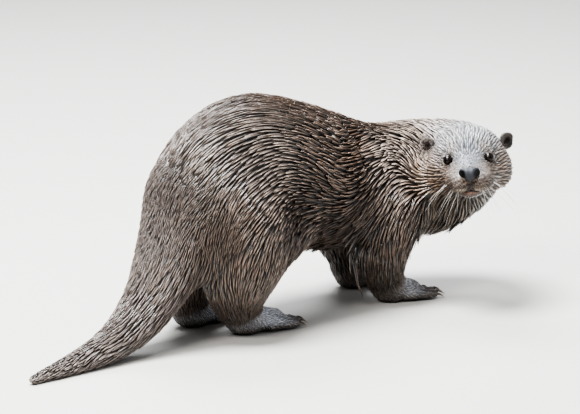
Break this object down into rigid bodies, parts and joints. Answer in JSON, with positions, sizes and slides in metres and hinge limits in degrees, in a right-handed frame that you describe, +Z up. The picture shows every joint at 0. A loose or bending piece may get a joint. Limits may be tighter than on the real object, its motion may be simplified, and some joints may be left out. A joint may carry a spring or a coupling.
{
  "type": "eurasian otter",
  "caption": "Still life-size model of a standing Eurasian otter, back arched, long tail on the floor, head turned back over its right side; it rests on its feet and tail.",
  "frame": {"origin": "on the floor, under the middle of the whole animal's bounding box", "axes": "+X runs along the trunk from tail to chest, +Y to the animal's left, +Z up"},
  "size_m": [0.6944, 0.2536, 0.26],
  "materials": {
    "coat": "wet fur in short pointed locks, grey-brown with paler wet glints",
    "bare_skin": "moist dark grey skin of the nose pad",
    "eye": "wet black",
    "claw": "horn, brown with a paler tip"
  },
  "bodies": {
    "root": {"head": "coat", "lower_jaw": "coat", "nose_pad": "bare_skin", "eye_right": "eye", "eye_left": "eye", "ear_right": "coat", "ear_left": "coat", "neck": "coat", "chest": "coat", "belly": "coat", "rump": "coat", "tail_base": "coat", "tail_middle": "coat", "tail_tip": "coat", "upper_arm_fore_left": "coat", "upper_arm_fore_right": "coat", "forearm_fore_left": "coat", "forearm_fore_right": "coat", "thigh_hind_left": "coat", "thigh_hind_right": "coat", "shank_hind_left": "coat", "shank_hind_right": "coat", "foot_fore_left": "coat", "foot_fore_right": "coat", "foot_hind_left": "coat", "foot_hind_right": "coat", "claw_fore_left_1": "claw", "claw_fore_left_2": "claw", "claw_fore_left_3": "claw", "claw_fore_left_4": "claw", "claw_fore_left_5": "claw", "claw_fore_right_1": "claw", "claw_fore_right_2": "claw", "claw_fore_right_3": "claw", "claw_fore_right_4": "claw", "claw_fore_right_5": "claw", "claw_hind_left_1": "claw", "claw_hind_left_2": "claw", "claw_hind_left_3": "claw", "claw_hind_left_4": "claw", "claw_hind_left_5": "claw", "claw_hind_right_1": "claw", "claw_hind_right_2": "claw", "claw_hind_right_3": "claw", "claw_hind_right_4": "claw", "claw_hind_right_5": "claw"}
  },
  "joints": []
}
